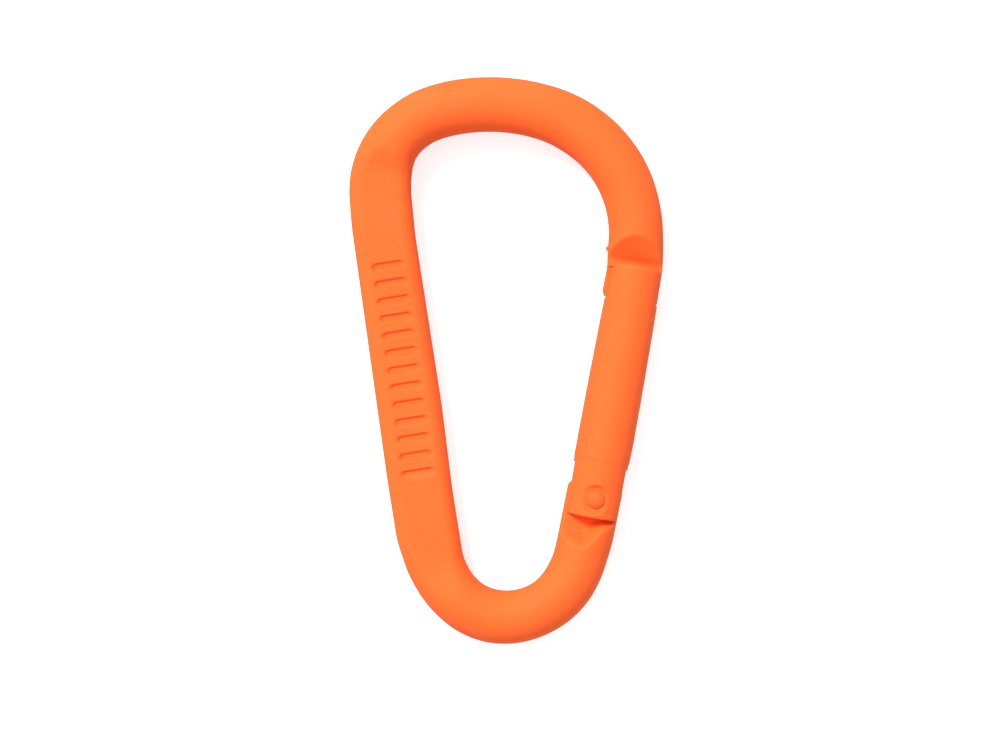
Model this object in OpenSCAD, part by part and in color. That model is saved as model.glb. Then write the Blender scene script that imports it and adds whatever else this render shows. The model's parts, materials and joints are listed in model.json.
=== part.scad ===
// Carabiner keyring. A bent aluminium rod with a pressed spine is closed by a
// sprung gate, which swings inward on a rivet and latches on the rod's nose.
// It lies flat: +Y points to the wide end, +X to the gate and +Z up.

/* [Overall] */
// Length over the crown and the tail bend
overall_len = 80; // [72:1:100]
// Width over the shoulder and the nose
overall_w = 44.1; // [40:0.1:54]
// Diameter of the rod
rod_d = 7.8; // [6.4:0.1:8.6]

/* [Bends] */
// Centreline radius of the crown, the flattest bend
crown_r = 27.5; // [25:0.5:34]
// Crown centre, to the right of the middle
crown_x = -2.3; // [-4:0.1:0]
// Centreline radius between the spine and the crown
shoulder_r = 11.1; // [9:0.1:13]
// Centreline radius between the crown and the nose
nose_r = 17.6; // [14:0.1:20]
// Centreline radius of the narrow end
tail_r = 10.3; // [8:0.1:12]
// Tail bend centre, to the right of the middle
tail_x = 0.1; // [-2:0.1:2]

/* [Pressed spine] */
// Width of the pressed section
spine_w = 9; // [8.2:0.1:10]
// Thickness of the pressed section
spine_t = 5.8; // [4.8:0.1:6.4]
// Edge radius of the pressed section
spine_edge_r = 2.1; // [1:0.1:2.3]
// How far the pressed flat runs into the shoulder, in degrees
press_shoulder = 24; // [10:1:34]
// How far the pressed flat runs into the tail bend, in degrees
press_tail = 24; // [10:1:40]
// Length of the slope from the flat up to the round rod
press_slope = 2; // [1:0.1:3]
// Length over which the rod widens to the pressed section
press_spread = 3; // [1:0.5:5]

/* [Gate] */
// Gate axis, outside the line that joins the two bends
gate_offset = 0.9; // [0.4:0.1:1.2]
// Hinge axis, above the end of the tail bend
hinge_rise = 8.3; // [7.6:0.1:10]
// Gate end, below the end of the nose bend
nose_drop = 1.35; // [1:0.05:3]
// How much thinner the gate is than the rod
gate_thinner = 0.1; // [0:0.05:0.4]
// How much thinner the nose end of the gate is than the rod
gate_nose_thinner = 0.6; // [0:0.05:1.2]
// Length of the taper towards the nose
gate_taper = 17; // [8:0.5:20]
// Chamfer at the nose end
gate_chamfer = 0.8; // [0.1:0.05:0.8]
// How much thinner the turned-down fork is than the rod
fork_thinner = 0.2; // [0:0.05:0.8]
// Fork shoulder, above the hinge axis
fork_rise = 5.6; // [5.2:0.1:8]
// Fork end, below the hinge axis
fork_foot = 2.5; // [2:0.1:3.4]

/* [Blades of the rod] */
// Thickness of both pressed blades
blade_t = 2.2; // [1.8:0.1:3.2]
// Edge radius of both pressed blades
blade_edge_r = 0.4; // [0.1:0.1:0.8]
// Hinge blade, from the gate axis to its inner side
tongue_in = 4.2; // [3.6:0.1:4.6]
// Hinge blade, from the gate axis to its outer side
tongue_out = 3.6; // [3:0.1:4]
// Hinge blade top, above the hinge axis
tongue_top = 2.1; // [1.8:0.1:2.4]
// Corner radius of the hinge blade
tongue_corner_r = 0.9; // [0.5:0.1:1.2]
// Slope between the hinge blade and the round rod
tongue_slope = 2.2; // [0.8:0.1:3]
// Nose blade, from the gate axis to its inner side
hook_in = 4.3; // [3.8:0.1:4.8]
// Nose blade, from the gate axis to its outer side
hook_out = 3.6; // [2.4:0.1:4]
// Length of the nose blade below the gate end
hook_reach = 5.2; // [4.2:0.1:6]
// Corner radius of the nose blade
hook_corner_r = 1; // [0.5:0.1:1.3]
// Slope of the face between the nose blade and the round rod, in degrees
nose_slope = 40; // [30:1:60]

/* [Hinge rivet] */
// Diameter of the shank
rivet_d = 2.2; // [1.6:0.1:2.6]
// How far the domed head laps over the shank's side
rivet_head_lap = 0.25; // [0.1:0.05:0.6]
// Height of the domed head
rivet_head_h = 0.55; // [0.3:0.05:0.7]
// Width of the pressed seat's ring round the head
rivet_seat_ring = 0.5; // [0.1:0.05:0.8]
// Depth of that seat below the fork's crest
rivet_seat_depth = 0.45; // [0.3:0.05:0.8]

/* [Latch studs] */
// Diameter of both studs, one in each arm of the gate's nose
latch_d = 0.9; // [0.7:0.1:1.4]
// Stud centres, below the gate end
latch_drop = 1.2; // [1.1:0.05:1.8]
// How far each stud stays below the gate's crest
latch_sink = 0.1; // [0:0.05:0.3]
// Thickness left in the nose blade between its two grooves
latch_web = 0.8; // [0.4:0.1:1.2]

/* [Spring and plunger] */
// Diameter of the blind bore in the gate
bore_d = 3; // [2.6:0.1:3.6]
// Solid metal from the bore's end to the gate end
bore_stop = 9.6; // [7:0.1:14]
// Radial gap between the coil and the bore
coil_gap = 0.15; // [0.05:0.05:0.3]
// Diameter of the spring wire
wire_d = 0.45; // [0.3:0.05:0.5]
// Distance between turns
coil_pitch = 1.27; // [0.8:0.01:2]
// Length of the plunger, as a share of the bore above it
plunger_share = 0.32; // [0.2:0.01:0.45]
// Chamfer at the plunger tip
plunger_chamfer = 0.45; // [0.2:0.05:0.6]

/* [Clearances] */
// Gap beside each blade in its slot
blade_gap = 0.15; // [0.1:0.05:0.5]
// Gap from a blade's corner path to the end of its slot
slot_end_gap = 0.3; // [0.2:0.05:0.6]
// Radial gap of a running fit
run_gap = 0.05; // [0.02:0.01:0.08]
// Gap round each latch stud in its groove
latch_gap = 0.1; // [0.05:0.05:0.3]
// Gap from the gate end's corner path to the slope
nose_gap = 0.2; // [0.15:0.05:0.5]
// Gap from the closed plunger to the hinge blade
plunger_gap = 0.05; // [0.02:0.01:0.1]

/* [Hidden] */
$fn = 96;
orange = "#f07a3c";
rod_r = rod_d / 2;
gate_d = rod_d - gate_thinner;
gate_nose_d = rod_d - gate_nose_thinner;
fork_d = rod_d - fork_thinner;
// Room that a cut runs past what it cuts
over = 1;
// Steps round each edge of the rod's section, and the least flat between edges
edge_steps = 4;
least_flat = 0.05;

// Centres of the four bends, each tangent inside the crown
crown = [crown_x, overall_len / 2 - rod_r - crown_r];
shoulder_x = shoulder_r + rod_r - overall_w / 2;
shoulder = [shoulder_x, inner_tangent_y(shoulder_x, shoulder_r)];
nose_x = overall_w / 2 - rod_r - nose_r;
nose = [nose_x, inner_tangent_y(nose_x, nose_r)];
tail = [tail_x, rod_r + tail_r - overall_len / 2];

// The spine is the outer tangent of the shoulder and tail bends
spine_span = norm(shoulder - tail);
spine_lean = atan2(tail[0] - shoulder[0], shoulder[1] - tail[1])
    + asin((shoulder_r - tail_r) / spine_span);
spine_len = sqrt(pow(spine_span, 2) - pow(shoulder_r - tail_r, 2));
spine_side = 180 + spine_lean;

// The gate leans with the outer tangent of the nose and tail bends
gate_span = norm(nose - tail);
gate_lean = atan2(nose[0] - tail[0], nose[1] - tail[1]) + asin((nose_r - tail_r) / gate_span);
bend_gap_len = sqrt(pow(gate_span, 2) - pow(nose_r - tail_r, 2));
gate_len = bend_gap_len - hinge_rise - nose_drop;
gate_up = [sin(gate_lean), cos(gate_lean)];
gate_out = [cos(gate_lean), -sin(gate_lean)];
hinge = tail + gate_out * (tail_r + gate_offset) + gate_up * hinge_rise;

// Slots of the gate, in distances along its axis from the hinge
blade_slot_t = blade_t + 2 * blade_gap;
tongue_corner = norm([tongue_in, tongue_top] - [1, 1] * tongue_corner_r) + tongue_corner_r;
tongue_slot_top = tongue_corner + slot_end_gap;
hook_tip = gate_len - hook_reach;
hook_slot_foot = hook_tip - slot_end_gap;

// Nose of the rod: the slope starts past the path of the gate end's corner
slope_at = norm([gate_nose_d / 2, gate_len]) + nose_gap;
slope_len = (rod_r - blade_t / 2) / tan(nose_slope);
latch_at = gate_len - latch_drop;
latch_r = latch_d / 2 + latch_gap;
latch_crest = (gate_nose_d + (gate_d - gate_nose_d) * latch_drop / gate_taper) / 2;

// Hinge of the rod: the slope ends past the path of the fork's corner
tongue_foot = norm([fork_d / 2, fork_foot]) + tongue_slope + slot_end_gap;
rivet_seat_z = fork_d / 2 - rivet_seat_depth;
rivet_head_r = rivet_d / 2 + rivet_head_lap;

// Plunger and spring, along the gate axis
plunger_d = bore_d - 2 * run_gap;
plunger_tip = tongue_top + plunger_gap;
bore_top = gate_len - bore_stop;
plunger_len = (bore_top - plunger_tip) * plunger_share;
spring_foot = plunger_tip + plunger_len;

// The rod's path starts at the hinge blade's top and runs clockwise, as pieces
// that each have a length and the radius of their bend, with 0 for a straight
path = [
    [tongue_top + hinge_rise, 0],
    [arc_len(tail_r, 360 - gate_lean - spine_side), tail_r],
    [spine_len, 0],
    [arc_len(shoulder_r, spine_side - from_crown(shoulder)), shoulder_r],
    [arc_len(crown_r, from_crown(shoulder) - from_crown(nose)), crown_r],
    [arc_len(nose_r, from_crown(nose) + gate_lean), nose_r],
    [nose_drop + hook_reach, 0]];
tail_end = path[0][0] + path[1][0];
spine_end = tail_end + spine_len;
path_end = path_sum(len(path) - 1);
path_start = hinge + gate_up * tongue_top - gate_out * gate_offset;

// Stations along the path where the section changes
tongue_flat_end = tongue_top + tongue_foot - tongue_slope;
tongue_end = tongue_top + tongue_foot;
press_from = tail_end - arc_len(tail_r, press_tail);
press_to = spine_end + arc_len(shoulder_r, press_shoulder);
hook_from = path_end - hook_reach - (slope_at - gate_len);
slope_from = hook_from - slope_len;

// Half height of the section by station
half_heights = [[0, blade_t / 2], [tongue_flat_end, blade_t / 2], [tongue_end, rod_r],
    [press_from - press_slope, rod_r], [press_from, spine_t / 2], [press_to, spine_t / 2],
    [press_to + press_slope, rod_r], [slope_from, rod_r], [hook_from, blade_t / 2]];
// Edge radius of the section by station
edge_radii = [[0, blade_edge_r], [tongue_flat_end, blade_edge_r], [tongue_end, rod_r],
    [press_from - press_slope, rod_r], [press_from, spine_edge_r], [press_to, spine_edge_r],
    [press_to + press_slope, rod_r], [slope_from, rod_r], [hook_from, blade_edge_r]];
// Distance from the path to the outside; the pressed spine widens towards the tail
outer_sides = [[0, tongue_out + gate_offset], [tongue_flat_end, tongue_out + gate_offset],
    [tongue_top + hinge_rise, rod_r], [press_from - press_spread, rod_r],
    [tail_end, spine_w - rod_r], [spine_end, rod_r], [slope_from, rod_r],
    [hook_from, hook_out + gate_offset]];
// Distance from the path to the inside; the pressed spine widens towards the shoulder
inner_sides = [[0, tongue_in - gate_offset], [tongue_flat_end, tongue_in - gate_offset],
    [tongue_top + hinge_rise, rod_r], [tail_end, rod_r], [spine_end, spine_w - rod_r],
    [press_to + press_spread, rod_r], [slope_from, rod_r], [hook_from, hook_in - gate_offset]];

// Stations of the rings, closest where the section changes
stations = concat(
    [for (k = [0 : 3]) tongue_corner_r * (1 - cos(30 * k))],
    spread(tongue_corner_r, tongue_flat_end, 1), spread(tongue_flat_end, tongue_end, 2),
    spread(tongue_end, press_from - press_slope, 15), spread(press_from - press_slope, press_from, 2),
    spread(press_from, tail_end, 5), spread(tail_end, spine_end, 4),
    spread(spine_end, press_to, 5), spread(press_to, press_to + press_slope, 2),
    spread(press_to + press_slope, spine_end + path[3][0], 4),
    spread(spine_end + path[3][0], spine_end + path[3][0] + path[4][0], 7),
    spread(spine_end + path[3][0] + path[4][0], slope_from, 12),
    spread(slope_from, hook_from, 5), spread(hook_from, path_end - hook_corner_r, 1),
    [for (k = [2 : -1 : 0]) path_end - hook_corner_r * (1 - cos(30 * k))]);

// Centre height of a bend that touches the crown from inside
function inner_tangent_y(x, r) = crown[1] + sqrt(pow(crown_r - r, 2) - pow(x - crown_x, 2));

// Direction in which a bend's centre lies from the crown's centre
function from_crown(centre) = atan2(centre[1] - crown[1], centre[0] - crown[0]);

function arc_len(r, angle) = r * angle * PI / 180;

// Stations after one place and up to the next
function spread(from, to, steps) = [for (k = [1 : steps]) from + (to - from) * k / steps];

// Length of the path up to the end of one of its pieces
function path_sum(piece) = piece < 0 ? 0 : path[piece][0] + path_sum(piece - 1);

// Place and heading at a distance along one piece, from its start
function along(start, r, run) = r == 0
    ? [start[0] + run * [cos(start[1]), sin(start[1])], start[1]]
    : let (turn = run / r * 180 / PI, centre = start[0] + r * [sin(start[1]), -cos(start[1])],
        heading = start[1] - turn)
        [centre + r * [-sin(heading), cos(heading)], heading];

// Place and heading at a station of the whole path
function on_path(s, piece = 0, start = [path_start, -90 - gate_lean]) =
    s <= path[piece][0] || piece == len(path) - 1
        ? along(start, path[piece][1], s)
        : on_path(s - path[piece][0], piece + 1, along(start, path[piece][1], path[piece][0]));

// How much a rounded corner takes off each side near an end of the rod
function corner_loss(from_end, r) = from_end >= r ? 0 : r - sqrt(pow(r, 2) - pow(r - from_end, 2));

// One ring of the rod: a rounded rectangle between its inner and outer side
function ring(s) = let (
    place = on_path(s), out = [-sin(place[1]), cos(place[1])],
    loss = corner_loss(s, tongue_corner_r) + corner_loss(path_end - s, hook_corner_r),
    high = lookup(s, half_heights), outer = lookup(s, outer_sides) - loss, inner = lookup(s, inner_sides) - loss,
    edge = min(lookup(s, edge_radii), high - least_flat, (outer + inner) / 2 - least_flat))
    [for (corner = [0 : 3], k = [0 : edge_steps]) let (
        angle = 90 * (corner + k / edge_steps), right = corner == 0 || corner == 3, top = corner < 2,
        across = (right ? outer - edge : edge - inner) + edge * cos(angle),
        up = (top ? high - edge : edge - high) + edge * sin(angle))
        [place[0][0] + across * out[0], place[0][1] + across * out[1], rod_r + up]];

// Solid skinned over a list of rings, closed at both ends
module skin(rings) {
    around = len(rings[0]);
    last = (len(rings) - 1) * around;
    walls = [for (i = [0 : len(rings) - 2], k = [0 : around - 1]) let (
        next = (k + 1) % around, a = i * around + k, b = i * around + next,
        c = b + around, d = a + around) each [[a, b, c], [a, c, d]]];
    start_cap = [[for (k = [around - 1 : -1 : 0]) k]];
    end_cap = [[for (k = [0 : around - 1]) last + k]];
    polyhedron([for (r = rings) each r], concat(walls, start_cap, end_cap));
}

// Shapes drawn with the hinge as origin and the gate along +Y
module at_hinge() {
    translate([hinge[0], hinge[1], rod_r]) rotate([0, 0, -gate_lean]) children();
}

// Cylinder or cone along the gate axis
module along_gate(from, to, d1, d2) {
    translate([0, from, 0]) rotate([-90, 0, 0]) cylinder(d1 = d1, d2 = d2, h = to - from);
}

// The groove follows a latch stud's path about the hinge
module latch_groove() {
    translate([0, latch_at, latch_web / 2]) cylinder(r = latch_r, h = blade_t);
    intersection() {
        translate([0, 0, latch_web / 2]) difference() {
            cylinder(r = latch_at + latch_r, h = blade_t);
            translate([0, 0, -over]) cylinder(r = latch_at - latch_r, h = blade_t + 2 * over);
        }
        translate([-2 * hook_in, latch_at - rod_d, -over])
            cube([2 * hook_in, 2 * rod_d, 2 * rod_d]);
    }
}

module frame() {
    color(orange) difference() {
        skin([for (s = stations) ring(s)]);
        at_hinge() {
            translate([0, 0, -rod_d]) cylinder(r = rivet_d / 2 + run_gap, h = 2 * rod_d);
            for (face = [0, 1]) mirror([0, 0, face]) latch_groove();
        }
    }
}

module gate() {
    taper_at = gate_len - gate_taper;
    chamfer_at = gate_len - gate_chamfer;
    color(orange) at_hinge() difference() {
        union() {
            along_gate(-fork_foot, fork_rise, fork_d, fork_d);
            along_gate(fork_rise, taper_at, gate_d, gate_d);
            along_gate(taper_at, chamfer_at, gate_d, gate_nose_d);
            along_gate(chamfer_at, gate_len, gate_nose_d, gate_nose_d - 2 * gate_chamfer);
        }
        translate([-gate_d, -fork_foot - over, -blade_slot_t / 2])
            cube([2 * gate_d, fork_foot + over + tongue_slot_top, blade_slot_t]);
        translate([-gate_d, hook_slot_foot, -blade_slot_t / 2])
            cube([2 * gate_d, gate_len - hook_slot_foot + over, blade_slot_t]);
        along_gate(-fork_foot - over, bore_top, bore_d, bore_d);
        translate([0, 0, -gate_d]) cylinder(d = rivet_d, h = 2 * gate_d);
        for (face = [0, 1]) mirror([0, 0, face])
            translate([0, 0, rivet_seat_z]) cylinder(r = rivet_head_r + rivet_seat_ring, h = gate_d);
        translate([0, latch_at, -gate_d]) cylinder(d = latch_d, h = 2 * gate_d);
    }
}

module hinge_rivet() {
    dome_r = (pow(rivet_head_r, 2) + pow(rivet_head_h, 2)) / (2 * rivet_head_h);
    color(orange) at_hinge() {
        translate([0, 0, -rivet_seat_z]) cylinder(d = rivet_d, h = 2 * rivet_seat_z);
        for (face = [0, 1]) mirror([0, 0, face]) translate([0, 0, rivet_seat_z]) intersection() {
            translate([0, 0, rivet_head_h - dome_r]) sphere(r = dome_r);
            cylinder(r = 2 * rivet_head_r, h = rod_d);
        }
    }
}

// One stud, riveted through an arm and standing into the groove
module latch_stud(face) {
    foot = latch_web / 2 + latch_gap;
    color("silver") at_hinge() mirror([0, 0, face]) translate([0, latch_at, foot])
        cylinder(d = latch_d, h = latch_crest - latch_sink - foot);
}

module latch_stud_upper() {
    latch_stud(0);
}

module latch_stud_lower() {
    latch_stud(1);
}

// Open coil between the plunger and the end of the bore
module gate_spring() {
    sides = 8;
    steps = 16;
    rise = bore_top - spring_foot - wire_d;
    rings = floor(rise / coil_pitch) * steps;
    wind_r = bore_d / 2 - coil_gap - wire_d / 2;
    points = [for (i = [0 : rings]) let (turn = 360 * i / steps, y = spring_foot + wire_d / 2 + rise * i / rings)
        for (k = [0 : sides - 1]) let (around = 360 * k / sides, r = wind_r + wire_d / 2 * cos(around))
            [r * cos(turn), y + wire_d / 2 * sin(around), r * sin(turn)]];
    walls = [for (i = [0 : rings - 1], k = [0 : sides - 1]) let (next = (k + 1) % sides)
        [i * sides + k, i * sides + next, (i + 1) * sides + next, (i + 1) * sides + k]];
    foot_cap = [[for (k = [sides - 1 : -1 : 0]) k]];
    top_cap = [[for (k = [0 : sides - 1]) rings * sides + k]];
    color("silver") at_hinge() polyhedron(points, concat(walls, foot_cap, top_cap));
}

module spring_plunger() {
    color("silver") at_hinge() {
        along_gate(plunger_tip, plunger_tip + plunger_chamfer,
            plunger_d - 2 * plunger_chamfer, plunger_d);
        along_gate(plunger_tip + plunger_chamfer, spring_foot, plunger_d, plunger_d);
    }
}

frame();
gate();
hinge_rivet();
latch_stud_upper();
latch_stud_lower();
gate_spring();
spring_plunger();
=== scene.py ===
"""Carabiner keyring: a coated rod, bent and pressed into a pear shape, closed by a sprung gate."""
import json
import math

import bmesh
import bpy
import numpy as np
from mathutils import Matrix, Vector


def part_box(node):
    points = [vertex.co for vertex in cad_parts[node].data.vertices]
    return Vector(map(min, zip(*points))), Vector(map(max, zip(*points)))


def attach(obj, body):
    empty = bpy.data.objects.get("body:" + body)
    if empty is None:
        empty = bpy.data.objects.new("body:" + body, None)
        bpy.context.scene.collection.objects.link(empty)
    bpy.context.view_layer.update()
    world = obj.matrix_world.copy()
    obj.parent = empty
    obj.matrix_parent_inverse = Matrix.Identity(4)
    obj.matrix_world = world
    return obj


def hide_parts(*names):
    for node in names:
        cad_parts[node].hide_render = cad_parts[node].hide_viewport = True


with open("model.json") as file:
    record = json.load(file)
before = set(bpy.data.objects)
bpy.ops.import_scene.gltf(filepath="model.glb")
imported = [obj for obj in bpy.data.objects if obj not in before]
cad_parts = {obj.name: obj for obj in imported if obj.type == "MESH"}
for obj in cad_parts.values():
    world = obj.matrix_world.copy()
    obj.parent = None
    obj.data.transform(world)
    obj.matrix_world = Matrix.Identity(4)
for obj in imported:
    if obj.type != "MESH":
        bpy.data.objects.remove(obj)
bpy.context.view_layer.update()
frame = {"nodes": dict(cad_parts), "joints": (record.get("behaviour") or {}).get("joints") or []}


# --- The bent rod ---------------------------------------------------------------------------
# One length of aluminium rod, bent cold to a pear shape. Its straight side is pressed flat, and
# both ends are pressed to thin blades: one for the hinge, one with a groove in each face for the
# latch studs.
MM = 0.001
joints = {joint["name"]: joint for joint in frame["joints"]}
hinge = np.array(joints["gate_hinge"]["pos_m"]) / MM
gate_up = np.array(joints["plunger_slide"]["axis"][:2])
gate_up = gate_up / np.linalg.norm(gate_up)
gate_out = np.array([gate_up[1], -gate_up[0]])
rod_low, rod_high = (np.array(corner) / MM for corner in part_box("frame"))

rod_r = hinge[2]
crown_r, shoulder_r, nose_r, tail_r = 27.5, 11.1, 17.6, 10.3
crown = np.array([-2.3, rod_high[1] - rod_r - crown_r])
tail = np.array([0.1, rod_low[1] + rod_r + tail_r])
gate_offset = 0.9
blade_half = 1.1
tongue_top = 2.1
gate_end = 33.6
hook_reach = 5.2


def tangent_bend(x, r):
    """Centre of a bend of radius r at x that touches the crown's arc from inside."""
    return np.array([x, crown[1] + math.sqrt((crown_r - r) ** 2 - (x - crown[0]) ** 2)])


shoulder = tangent_bend(rod_low[0] + rod_r + shoulder_r, shoulder_r)
nose = tangent_bend(rod_high[0] - rod_r - nose_r, nose_r)


def outer_tangent(near, near_r, far, far_r):
    """Angle between two pulleys' centre line and the belt round them, and its free length."""
    span = np.linalg.norm(far - near)
    return math.asin((far_r - near_r) / span), math.sqrt(span ** 2 - (far_r - near_r) ** 2)


spine_turn, spine_len = outer_tangent(tail, tail_r, shoulder, shoulder_r)
gate_turn, gap_len = outer_tangent(tail, tail_r, nose, nose_r)
spine_side = math.pi + spine_turn + math.atan2(tail[0] - shoulder[0], shoulder[1] - tail[1])
gate_lean = gate_turn + math.atan2(nose[0] - tail[0], nose[1] - tail[1])
to_shoulder = math.atan2(*(shoulder - crown)[::-1])
to_nose = math.atan2(*(nose - crown)[::-1])
tail_point = tail + tail_r * gate_out
hinge_rise = (hinge[:2] - tail_point) @ gate_up
nose_drop = gap_len - hinge_rise - gate_end

# Length and bend radius of each stretch, clockwise from the hinge blade's top; 0 is straight
stretches = [
    (tongue_top + hinge_rise, 0),
    (tail_r * (2 * math.pi - gate_lean - spine_side), tail_r),
    (spine_len, 0),
    (shoulder_r * (spine_side - to_shoulder), shoulder_r),
    (crown_r * (to_shoulder - to_nose), crown_r),
    (nose_r * (to_nose + gate_lean), nose_r),
    (nose_drop + hook_reach, 0),
]
ends = np.cumsum([length for length, _ in stretches])
bend_start, tail_end, spine_end, rod_end = ends[0], ends[1], ends[2], ends[6]
path_start = hinge[:2] + gate_up * tongue_top - gate_out * gate_offset


def along_path(station):
    """Place and outward side at each station: straights and arcs, each from the last one's end."""
    place, side = np.zeros((len(station), 2)), np.zeros((len(station), 2))
    start, heading, from_station = path_start, -math.pi / 2 - gate_lean, 0.0
    for length, r in stretches:
        here = (station >= from_station - 1e-6)
        run = np.append(station[here] - from_station, length)
        angle = heading - (run / r if r else 0 * run)
        if r:
            centre = start + r * np.array([math.sin(heading), -math.cos(heading)])
            point = centre + r * np.stack([-np.sin(angle), np.cos(angle)], 1)
        else:
            point = start + run[:, None] * np.array([math.cos(heading), math.sin(heading)])
        place[here] = point[:-1]
        side[here] = np.stack([-np.sin(angle), np.cos(angle)], 1)[:-1]
        start, heading, from_station = point[-1], angle[-1], from_station + length
    return place, side


def blended(station, reach, *keys):
    """Value at each station: straight lines between keys, averaged over reach to round them."""
    at, value = np.array(keys).T
    return np.mean([np.interp(station + shift, at, value)
                    for shift in np.linspace(-reach, reach, 11)], axis=0)


def corner_loss(from_end, r):
    """How much a round corner of radius r takes off a side at a distance from the end."""
    left = np.clip(r - from_end, 0, r)
    return r - np.sqrt(r ** 2 - left ** 2)


def rounded_section(outer, inner, high, edge, fraction):
    """Point at each fraction of the way round a rounded rectangle.

    Up the outer side, round the first edge, over the flat, round the second edge and down the
    inner side; past half way the same walk is mirrored downwards."""
    half = np.minimum(fraction, 1 - fraction)[None, :]
    outer, inner, high, edge = (v[:, None] for v in (outer, inner, high, edge))
    flat, side, arc = outer + inner - 2 * edge, high - edge, edge * math.pi / 2
    walked = half * 2 * (2 * side + 2 * arc + flat)
    arc_one = np.clip(walked - side, 0, arc) / edge
    over_flat = np.clip(walked - side - arc, 0, flat)
    arc_two = np.clip(walked - side - arc - flat, 0, arc) / edge
    down = np.clip(walked - side - 2 * arc - flat, 0, side)
    across = outer - edge * (1 - np.cos(arc_one)) - over_flat - edge * np.sin(arc_two)
    up = np.clip(walked, 0, side) + edge * np.sin(arc_one) - edge * (1 - np.cos(arc_two)) - down
    return across, up * np.where(fraction <= 0.5, 1, -1)[None, :]


def pressed_down(up, limit, softness):
    """Height under a press: the smaller of the height and the limit, softly blended."""
    size = np.abs(up)
    soft = -softness * np.logaddexp(-size / softness, -limit / softness)
    return np.sign(up) * np.maximum(soft, 0)


def grid_faces(rows, columns, closed):
    """Quads of a grid of points, row by row; the last column joins the first if closed."""
    row, column = np.meshgrid(np.arange(rows - 1), np.arange(columns - (not closed)),
                              indexing="ij")
    a, b = row * columns + column, row * columns + (column + 1) % columns
    return np.stack([a, b, b + columns, a + columns], -1).reshape(-1, 4)


def solid_mesh(name, grids, smooth_angle):
    """One closed mesh from grids of points in millimetres, welded where they meet."""
    points, faces, count = [], [], 0
    for grid, closed in grids:
        rows, columns = grid.shape[:2]
        points.append(grid.reshape(-1, 3))
        faces += (grid_faces(rows, columns, closed) + count).tolist()
        count += rows * columns
    mesh = bpy.data.meshes.new(name)
    mesh.from_pydata(np.concatenate(points) * MM, [], faces)
    work = bmesh.new()
    work.from_mesh(mesh)
    bmesh.ops.remove_doubles(work, verts=work.verts, dist=1e-6)
    bmesh.ops.dissolve_degenerate(work, edges=work.edges, dist=1e-7)
    bmesh.ops.recalc_face_normals(work, faces=work.faces)
    work.to_mesh(mesh)
    work.free()
    mesh.shade_smooth()
    mesh.set_sharp_from_angle(angle=math.radians(smooth_angle))
    piece = bpy.data.objects.new(name, mesh)
    bpy.context.scene.collection.objects.link(piece)
    return piece


def cap(ring):
    """Grid that closes a ring with points drawn in towards its middle."""
    middle = ring.mean(0)
    return np.stack([middle + (ring - middle) * share for share in (1, 0.6, 0.2, 0)])


def cut_out(piece, cutters):
    """Cuts closed solids out of a piece for good, and removes the cutters."""
    for cutter in cutters:
        cut = piece.modifiers.new("cut", "BOOLEAN")
        cut.operation, cut.solver, cut.object = "DIFFERENCE", "EXACT", cutter
    finished = piece.evaluated_get(bpy.context.evaluated_depsgraph_get())
    mesh = bpy.data.meshes.new_from_object(finished)
    piece.modifiers.clear()
    piece.data = mesh
    for cutter in cutters:
        bpy.data.objects.remove(cutter)


def from_hinge(out, up, high):
    """Points given by distance out from the gate axis, up along it and above its middle height."""
    out, up, high = np.broadcast_arrays(out, up, high)
    flat = hinge[:2] + out[..., None] * gate_out + up[..., None] * gate_up
    return np.concatenate([flat, hinge[2] + high[..., None]], -1)


# The fork's foot beside and below the hinge, the room round it, and the slope past that room
foot_side, foot_low, foot_gap, foot_slope = 4.0, 2.5, 0.14, 1.5
full_swing = math.radians(45)


def outside_sweep(out, up):
    """Distance outside the space that the fork's foot sweeps as the gate swings open.

    A point is clear when it is further down than the foot's corner ever reaches, or below the
    foot's edge both when the gate is shut and when it is turned by the full swing."""
    turned = out * math.sin(full_swing) - up * math.cos(full_swing)
    return np.maximum(-up - math.hypot(foot_side, foot_low),
                      np.minimum(-up, turned) - foot_low) - foot_gap


hook_from = rod_end - hook_reach - 0.3
nose_slope = math.tan(math.radians(37))
stations = np.unique(np.concatenate([
    np.linspace(0, 1, 14) ** 2, np.arange(1, bend_start, 0.1), np.arange(bend_start, 32, 0.45),
    np.arange(32, 42, 0.25), np.arange(42, 51, 0.5), np.arange(51, 83, 0.16),
    np.arange(83, 92, 0.5), np.arange(92, 100, 0.25), np.arange(100, 138, 0.5),
    np.arange(138, rod_end - 1, 0.16), rod_end - np.linspace(0, 1, 14) ** 2]).round(4))
around = np.arange(108) / 108

outer = blended(stations, 1.2, (0, 4.5), (8, 4.35), (12, 3.85), (20, 3.75), (27, 4.02), (33, 3.85),
                (36.5, 4.0), (42, 4.95), (51, 4.95), (87, 4.3), (90.5, 4.0), (96, 3.82),
                (102, 3.66), (108, 3.88), (136, 3.88), (141, 3.8), (145, 3.9), (147, 4.14),
                (149, 4.42), (rod_end, 4.52))
inner = blended(stations, 1.2, (0, 3.3), (9, 3.45), (13, 3.75), (19, 3.6), (30, 3.6), (36, 3.9),
                (48, 3.88), (60, 4.28), (84, 4.34), (91.5, 4.78), (94.5, 4.6), (99, 4.0),
                (107, 3.82), (120, 3.88), (127, 4.02), (134, 3.85), (145, 3.78), (148, 3.75),
                (149.6, 3.32), (152.6, 3.42), (rod_end, 3.42))
outer = outer - corner_loss(stations, 0.9) - corner_loss(rod_end - stations, 0.3)
inner = inner - corner_loss(stations, 0.9) - 0.4 * corner_loss(rod_end - stations, 1.4)
high = blended(stations, 0.8, (0, 3.88), (32.4, 3.88), (37.4, 2.9), (94.3, 2.9), (97.4, 3.88),
               (rod_end, 3.88))
edge = blended(stations, 0.9, (0, 3.8), (32, 3.8), (38, 2.0), (94, 2.0), (97.6, 3.8),
               (rod_end, 3.8))
edge = np.minimum(edge, np.minimum(high, (outer + inner) / 2) - 0.02)
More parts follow.
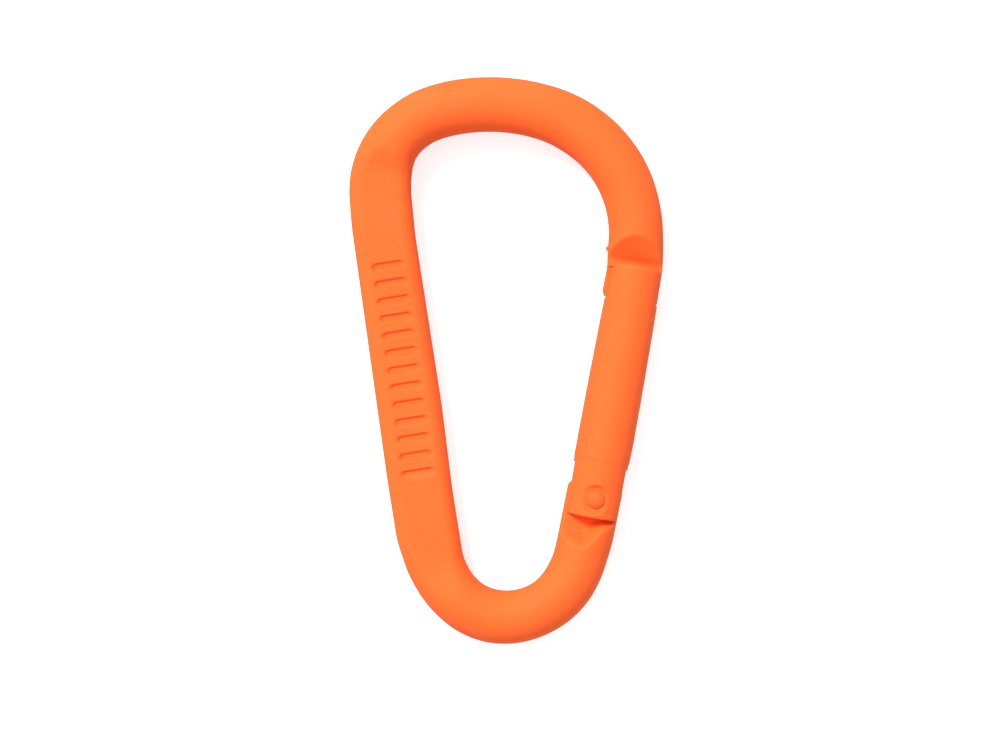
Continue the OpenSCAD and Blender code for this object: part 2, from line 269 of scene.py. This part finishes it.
across, up = rounded_section(outer, inner, high, edge, around)

nose_pressed = blended(stations, 0.25, (0, 99), (hook_from - 4, blade_half + 4 * nose_slope),
                       (hook_from, blade_half), (rod_end, blade_half))
clear = outside_sweep(across - gate_offset, tongue_top - stations[:, None])
hinge_pressed = blade_half + foot_slope * np.clip(clear, 0, 6)
up = pressed_down(pressed_down(up, nose_pressed[:, None], 0.07), hinge_pressed, 0.3)

# A burr stands where the press tool let go of the inner side
burr_at, burr_rise, burr_half_w = hook_from - 1.3, 0.36, 0.3
burr = burr_rise * np.exp(-((stations - burr_at) / burr_half_w) ** 2)[:, None]
across = across - burr * np.clip(-across / 3.8, 0, 1) ** 6

# Plain short slots are pressed across the middle of the spine's upper face
mark_pitch, mark_count, mark_half_w, mark_half_l, mark_depth = 2.45, 13, 0.5, 1.7, 0.36
marks_middle = (tail_end + spine_end) / 2 + 1.2
mark_step = np.round((stations - marks_middle) / mark_pitch)
mark_step = np.clip(mark_step, -(mark_count // 2), mark_count // 2)
from_mark = (stations - marks_middle - mark_step * mark_pitch)[:, None]
mark_middle, mark_soft = ((outer - inner) / 2)[:, None], 0.12
beyond = np.clip(np.abs(across - mark_middle) - mark_half_l, 0, None)
mark_edge = (mark_half_w + mark_soft - np.hypot(from_mark, beyond)) / (2 * mark_soft)
mark_edge = np.clip(mark_edge, 0, 1)
up = up - mark_depth * mark_edge ** 2 * (3 - 2 * mark_edge) * (up > 0.9 * high[:, None])

place, side = along_path(stations)
surface = np.concatenate([place[:, None] + across[..., None] * side[:, None],
                          (rod_r + up)[..., None]], -1)
coated_rod = solid_mesh("coated_rod", [(surface, True), (cap(surface[0])[::-1], True),
                                       (cap(surface[-1]), True)], 40)

turn = np.linspace(0, 2 * math.pi, 64, endpoint=False)


def hinge_drill(name, r):
    """Round cutter on the hinge's axis, right through the piece."""
    drill = from_hinge(r * np.cos(turn)[None], r * np.sin(turn)[None], np.array([[-5], [5]]))
    return solid_mesh(name, [(drill, True), (cap(drill[0]), True), (cap(drill[1]), True)], 40)



# A groove in each face of the nose blade follows a latch stud's path about the hinge, from a
# round end on the gate's axis out through the inner side; a web stays between the two
latch_at, groove_half, web_half, past_face = gate_end - 1.2, 0.55, 0.8, 3.0
ring_turn, swing = np.linspace(0, math.pi / 2, 9), np.linspace(0.01, 0.3, 24)


def groove_edge(half, high):
    """One long edge of a groove: a quarter ring, then an arc about the hinge, all level."""
    return from_hinge(
        np.concatenate([abs(half) * np.cos(ring_turn), -(latch_at + half) * np.sin(swing)]),
        np.concatenate([latch_at + half * np.sin(ring_turn), (latch_at + half) * np.cos(swing)]),
        high)


grooves = []
for web, face in ((web_half, past_face), (-web_half, -past_face)):
    groove = np.stack([groove_edge(groove_half, face), groove_edge(-groove_half, face),
                       groove_edge(-groove_half, web), groove_edge(groove_half, web)], 1)
    mouth = groove[-1][[0, 1, 3, 2]].reshape(2, 2, 3)
    grooves.append(solid_mesh("groove", [(groove, True), (mouth, False)], 40))
cut_out(coated_rod, [hinge_drill("rivet_hole", 1.15), *grooves])
coated_rod.data.set_sharp_from_angle(angle=math.radians(40))
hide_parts("frame")
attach(coated_rod, "rod_body")


def effect_group(name, inputs, outputs):
    """Empty shader node group; inputs are (name, socket type, value), outputs (name, type)."""
    group = bpy.data.node_groups.new(name, "ShaderNodeTree")
    for label, kind, value in inputs:
        group.interface.new_socket(label, in_out="INPUT", socket_type=kind).default_value = value
    for label, kind in outputs:
        group.interface.new_socket(label, in_out="OUTPUT", socket_type=kind)
    return group, group.nodes.new("NodeGroupInput"), group.nodes.new("NodeGroupOutput")


def noise(tree, source, scale, detail):
    """Noise over object coordinates, in features per metre."""
    node = tree.nodes.new("ShaderNodeTexNoise")
    node.inputs["Scale"].default_value = scale
    node.inputs["Detail"].default_value = detail
    tree.links.new(source, node.inputs["Vector"])
    return node.outputs["Fac"]


def ramp(tree, source, low, high, to_low, to_high):
    """Maps a value from one range to another in a straight line, held at the ends."""
    node = tree.nodes.new("ShaderNodeMapRange")
    for socket, value in zip(("From Min", "From Max", "To Min", "To Max"),
                             (low, high, to_low, to_high)):
        node.inputs[socket].default_value = value
    tree.links.new(source, node.inputs["Value"])
    return node.outputs["Result"]


def added(tree, first, second):
    """Sum of two values."""
    node = tree.nodes.new("ShaderNodeMath")
    tree.links.new(first, node.inputs[0])
    tree.links.new(second, node.inputs[1])
    return node.outputs[0]


# Baked coat: broad drifts of thickness tint it, fine orange peel dimples it, dust dulls it
powder_coat, coat_in, coat_out = effect_group(
    "powder coat",
    [("Colour", "NodeSocketColor", (1, 1, 1, 1)), ("Thin colour", "NodeSocketColor", (1, 1, 1, 1)),
     ("Drift", "NodeSocketFloat", 1.0)],
    [("Colour", "NodeSocketColor"), ("Roughness", "NodeSocketFloat"),
     ("Height", "NodeSocketFloat")])
where = powder_coat.nodes.new("ShaderNodeTexCoord").outputs["Object"]
drift = ramp(powder_coat, noise(powder_coat, where, 130, 3), 0.35, 0.7, 0.0, 0.5)
mottle = ramp(powder_coat, noise(powder_coat, where, 900, 2), 0.4, 0.7, 0.0, 0.25)
amount = powder_coat.nodes.new("ShaderNodeMath")
amount.operation = "MULTIPLY"
powder_coat.links.new(added(powder_coat, drift, mottle), amount.inputs[0])
powder_coat.links.new(coat_in.outputs["Drift"], amount.inputs[1])
tint = powder_coat.nodes.new("ShaderNodeMix")
tint.data_type = "RGBA"
powder_coat.links.new(amount.outputs[0], tint.inputs["Factor"])
powder_coat.links.new(coat_in.outputs["Colour"], tint.inputs["A"])
powder_coat.links.new(coat_in.outputs["Thin colour"], tint.inputs["B"])
powder_coat.links.new(tint.outputs["Result"], coat_out.inputs["Colour"])
dull = ramp(powder_coat, noise(powder_coat, where, 1700, 3), 0.3, 0.75, 0.66, 0.82)
powder_coat.links.new(dull, coat_out.inputs["Roughness"])
peel = ramp(powder_coat, noise(powder_coat, where, 2600, 2), 0.2, 0.8, 0, 1)
grit = ramp(powder_coat, noise(powder_coat, where, 9000, 1), 0.6, 0.8, 0, 0.3)
powder_coat.links.new(added(powder_coat, peel, grit), coat_out.inputs["Height"])


def coated(name, colour, thin_colour, bump):
    """Matte orange coat: the powder coat group drives colour, roughness and bump."""
    material = bpy.data.materials.new(name)
    material.use_nodes = True
    tree = material.node_tree
    shader = tree.nodes["Principled BSDF"]
    coat = tree.nodes.new("ShaderNodeGroup")
    coat.node_tree = powder_coat
    coat.inputs["Colour"].default_value = (*colour, 1)
    coat.inputs["Thin colour"].default_value = (*thin_colour, 1)
    relief = tree.nodes.new("ShaderNodeBump")
    relief.inputs["Strength"].default_value = bump
    relief.inputs["Distance"].default_value = 0.00004
    tree.links.new(coat.outputs["Colour"], shader.inputs["Base Color"])
    tree.links.new(coat.outputs["Roughness"], shader.inputs["Roughness"])
    tree.links.new(coat.outputs["Height"], relief.inputs["Height"])
    tree.links.new(relief.outputs["Normal"], shader.inputs["Normal"])
    shader.inputs["Specular IOR Level"].default_value = 0.22
    return material


coated_rod.data.materials.append(
    coated("rod_coat", (0.96, 0.121, 0.018), (0.98, 0.135, 0.024), 0.3))


# --- The gate -------------------------------------------------------------------------------
# A length of round bar, turned down at the hinge end, tapered to the nose and slotted at both
# ends. It is bored from the hinge for its spring, and coated like the rod before assembly.
slot_half = 1.25
fork_foot, slot_top, hook_slot = -2.5, 4.75, 28.3
nose_corner, foot_corner = 0.9, 0.25
side_steps, arm_steps = 12, 44
gate_stations = np.unique(np.concatenate([
    fork_foot + np.array([0, 0.02, 0.07, 0.15, 0.25]), np.arange(-2.1, 4.7, 0.2), [slot_top],
    np.arange(5.2, 6.6, 0.12), np.arange(7, 27.6, 0.8), [hook_slot],
    np.arange(28.4, 32.6, 0.3),
    gate_end - nose_corner * (1 - np.cos(np.linspace(0, math.pi / 2, 9)))]).round(4))
half_width = blended(gate_stations, 0.25, (fork_foot, 3.84), (5.3, 3.86), (5.8, 3.95), (9, 3.98),
                     (17, 3.93), (25, 3.83), (31, 3.7), (gate_end, 3.66))
half_width = (half_width - corner_loss(gate_stations - fork_foot, foot_corner)
              - corner_loss(gate_end - gate_stations, nose_corner))
half_height = np.minimum(half_width - 0.1, 3.86)


def gate_ring(width, height):
    """Angles round the gate: even steps between the slot's edges, on each flank and each arm."""
    lip = np.arcsin(np.clip(slot_half / height, 0, 0.98))[:, None]
    flank, arm = np.linspace(-1, 1, side_steps + 1)[:-1], np.linspace(0, 1, arm_steps + 1)[:-1]
    turns = np.concatenate([lip * flank, lip + (math.pi - 2 * lip) * arm,
                            math.pi + lip * flank, math.pi + lip + (math.pi - 2 * lip) * arm], 1)
    return width[:, None] * np.cos(turns), height[:, None] * np.sin(turns)


out, rise = gate_ring(half_width, half_height)
# The fork's foot and the nose are a little rounded in plan
foot_bow = 0.12 * (1 - (out / 3.9) ** 2) * np.clip((1 - gate_stations) / 3.5, 0, 1)[:, None]
run = gate_stations[:, None] - foot_bow + 0 * out

# A round seat is pressed into each arm of the fork round the rivet
seat_r, seat_high = 1.9, 3.28
from_rivet = np.hypot(out, run)
seat_share = np.clip((seat_r + 0.25 - from_rivet) / 0.5, 0, 1)
seat_share = seat_share ** 2 * (3 - 2 * seat_share)
dished = seat_high - 0.08 * (1 - (from_rivet / seat_r) ** 2)
rise = np.where(np.abs(rise) > dished, rise - np.sign(rise) * (np.abs(rise) - dished) * seat_share,
                rise)

# The gate stands a little to the inner side at the hinge, where its rivet hole is drilled
inward = blended(gate_stations, 1, (fork_foot, 0.15), (5, 0.15), (8, 0.08), (20, 0.04), (33, 0))
skin = from_hinge(out - inward[:, None], run, rise)
quarters = np.cumsum([0, side_steps, arm_steps, side_steps, arm_steps])
right, left = (quarters[0], quarters[1]), (quarters[2], quarters[3])


def strip(rows, first, last):
    """Columns of the gate's skin from one slot edge to the next, over some of its rings."""
    return skin[rows][:, np.arange(first, last + 1) % skin.shape[1]]


def between(one, other, steps):
    """Straight sheet from one edge of points to another."""
    share = np.linspace(0, 1, steps + 1)[None, :, None]
    return one[:, None] * (1 - share) + other[:, None] * share


fork_rows = np.flatnonzero(gate_stations <= slot_top + 1e-6)
nose_rows = np.flatnonzero(gate_stations >= hook_slot - 1e-6)
barrel_rows = np.arange(fork_rows[-1], nose_rows[0] + 1)
all_rows = np.arange(len(gate_stations))
gate_grids = [(strip(all_rows, quarters[1], quarters[2]), False),
              (strip(all_rows, quarters[3], quarters[4]), False),
              (strip(barrel_rows, *right), False), (strip(barrel_rows, *left), False)]
for rows, end_row, floor_row in ((fork_rows, fork_rows[0], fork_rows[-1]),
                                 (nose_rows, nose_rows[-1], nose_rows[0])):
    for first, last in ((quarters[1], quarters[2]), (quarters[3], quarters[4])):
        arm = strip(rows, first, last)
        wall = between(arm[:, 0], arm[:, -1], arm_steps)
        gate_grids.append((wall, False))
        end_arc = strip(np.array([end_row]), first, last)[0]
        gate_grids.append((between(end_arc, between(end_arc[:1], end_arc[-1:], arm_steps)[0], 4),
                           False))
    flank_right = strip(np.array([floor_row]), *right)[0]
    flank_left = strip(np.array([floor_row]), *left)[0][::-1]
    gate_grids.append((between(flank_right, flank_left, arm_steps), False))
coated_gate = solid_mesh("coated_gate", gate_grids, 40)
# The spring's bore reaches past the spring's top by the plunger's stroke
well_r, well_foot, well_top = 1.5, 4.0, 26.2
well = from_hinge(well_r * np.cos(turn)[None], np.array([[well_foot], [well_top]]),
                  well_r * np.sin(turn)[None])
well = solid_mesh("well", [(well, True), (cap(well[0]), True), (cap(well[1]), True)], 40)
cut_out(coated_gate, [well, hinge_drill("shank_hole", 1.1)])
coated_gate.data.set_sharp_from_angle(angle=math.radians(40))
coated_gate.data.materials.append(
    coated("gate_coat", (0.96, 0.121, 0.018), (0.98, 0.135, 0.024), 0.3))
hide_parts("gate")
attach(coated_gate, "gate_body")


# --- The hinge rivet ------------------------------------------------------------------------
# A soft aluminium rivet, headed over on both faces of the fork after the gate is fitted, and
# coated with the rest, so its domed heads are the same orange; here their colour is set a little
# darker, as painted shade.
dome_r, dome_h, shank_r, seat_z = 1.3, 0.7, 1.1, 3.14
lean = np.linspace(0, math.pi / 2, 15)
half_profile = np.concatenate([
    np.stack([dome_r * np.sin(lean), seat_z + dome_h * np.cos(lean)], 1),
    [[dome_r - 0.04, seat_z - 0.05], [shank_r, seat_z - 0.06], [shank_r, 1.0]]])
profile = np.concatenate([half_profile, half_profile[::-1] * [1, -1]])
spin = np.linspace(0, 2 * math.pi, 72, endpoint=False)[None]
rivet = from_hinge(profile[:, :1] * np.cos(spin), profile[:, :1] * np.sin(spin), profile[:, 1:])
rivet_heads = solid_mesh("rivet_heads", [(rivet, True)], 50)
# The heads' coat colours are set a little darker than the rod's coat: painted shade on the domed
# heads.
rivet_heads.data.materials.append(
    coated("rivet_coat", (0.94, 0.112, 0.016), (0.96, 0.126, 0.021), 0.35))
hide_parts("hinge_rivet")
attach(rivet_heads, "gate_body")


# --- The latch studs, the spring and its plunger -----------------------------------------------
# Bare steel: a round-ended stud in each arm of the gate's nose, sealed under the coat outside and
# standing into the slot, a coil of spring wire, and a push pin that it drives at the hinge blade.
def bare_steel(name, colour, streak_scale, roughness):
    """Steel with fine turning or drawing lines: stretched noise tints it and bumps it."""
    material = bpy.data.materials.new(name)
    material.use_nodes = True
    tree = material.node_tree
    shader = tree.nodes["Principled BSDF"]
    mapping = tree.nodes.new("ShaderNodeMapping")
    mapping.inputs["Scale"].default_value = streak_scale
    tree.links.new(tree.nodes.new("ShaderNodeTexCoord").outputs["Object"],
                   mapping.inputs["Vector"])
    lines = noise(tree, mapping.outputs["Vector"], 1000, 4)
    mix = tree.nodes.new("ShaderNodeMix")
    mix.data_type = "RGBA"
    mix.inputs["A"].default_value = (*[0.75 * c for c in colour], 1)
    mix.inputs["B"].default_value = (*colour, 1)
    tree.links.new(lines, mix.inputs["Factor"])
    tree.links.new(mix.outputs["Result"], shader.inputs["Base Color"])
    tree.links.new(ramp(tree, lines, 0.3, 0.7, roughness - 0.08, roughness + 0.1),
                   shader.inputs["Roughness"])
    relief = tree.nodes.new("ShaderNodeBump")
    relief.inputs["Strength"].default_value = 0.2
    relief.inputs["Distance"].default_value = 0.00002
    tree.links.new(lines, relief.inputs["Height"])
    tree.links.new(relief.outputs["Normal"], shader.inputs["Normal"])
    shader.inputs["Metallic"].default_value = 1.0
    return material


stud_r, stud_foot, stud_top = 0.45, 0.86, 3.3
dome = stud_r * np.stack([np.sin(lean), 1 - np.cos(lean)], 1)
stud_profile = np.concatenate([dome * [1, -0.4] + [0, stud_top],
                               (dome * [1, 0.3] + [0, stud_foot])[::-1]])
stud_out, stud_high = stud_profile[:, :1], stud_profile[:, 1:]
studs = [from_hinge(stud_out * np.cos(spin), latch_at + stud_out * np.sin(spin), face * stud_high)
         for face in (1, -1)]
latch_studs = solid_mesh("latch_studs", [(stud, True) for stud in studs], 50)
latch_studs.data.materials.append(
    bare_steel("stud_steel", (0.62, 0.61, 0.59), (1, 1, 6), 0.34))
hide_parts("latch_stud_upper", "latch_stud_lower")
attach(latch_studs, "gate_body")

steels = {
    "gate_spring": bare_steel("spring_wire", (0.45, 0.45, 0.46), (2, 2, 2), 0.3),
    "spring_plunger": bare_steel("plunger_steel", (0.6, 0.59, 0.57), (0.4, 5, 0.4), 0.3),
}
for node, steel in steels.items():
    frame["nodes"][node].data.materials.clear()
    frame["nodes"][node].data.materials.append(steel)


# --- The light table, the lights and the camera -----------------------------------------------
# The keyring lies on a white glowing table, over a grey card that tones down the light from below,
# under one wide soft lamp at its upper left. The table's tone is faintly cool, which evens out the
# warm light that the orange throws on it. The camera looks straight down from above.
def table_layer(name, height, tone, glow_strength):
    """Flat square sheet with one matte tone and an even glow."""
    bpy.ops.mesh.primitive_plane_add(size=3.0, location=(0, 0, height))
    sheet = bpy.context.object
    sheet.name = name
    finish = bpy.data.materials.new(name)
    finish.use_nodes = True
    shader = finish.node_tree.nodes["Principled BSDF"]
    shader.inputs["Base Color"].default_value = (*tone, 1)
    shader.inputs["Roughness"].default_value = 0.9
    shader.inputs["Specular IOR Level"].default_value = 0.0
    shader.inputs["Emission Color"].default_value = (1, 1, 1, 1)
    shader.inputs["Emission Strength"].default_value = glow_strength
    sheet.data.materials.append(finish)
    return sheet


table = table_layer("light_table", 0.0, (0.64, 0.8, 0.82), 0.6)
table.visible_diffuse = table.visible_glossy = table.visible_shadow = False
card = table_layer("grey_card", -0.0004, (0.65, 0.65, 0.65), 0.0)
card.visible_camera = False

lamp = bpy.data.lights.new("soft_lamp", "SUN")
lamp.energy = 4.05
lamp.angle = math.radians(18)
lamp_object = bpy.data.objects.new("soft_lamp", lamp)
lamp_object.rotation_euler = (math.radians(-33), math.radians(-27), 0)
bpy.context.scene.collection.objects.link(lamp_object)

world = bpy.data.worlds.new("studio")
world.use_nodes = True
world.node_tree.nodes["Background"].inputs["Color"].default_value = (1, 1, 1, 1)
world.node_tree.nodes["Background"].inputs["Strength"].default_value = 0.68
bpy.context.scene.world = world
bpy.context.scene.view_settings.view_transform = "Standard"

view_width, lens, sensor = 0.14113, 150, 36
camera_data = bpy.data.cameras.new("camera")
camera_data.lens, camera_data.sensor_width = lens, sensor
camera = bpy.data.objects.new("camera", camera_data)
camera.location = (-0.00089, -0.00066, rod_r * MM + view_width * lens / sensor)
bpy.context.scene.collection.objects.link(camera)
bpy.context.scene.camera = camera
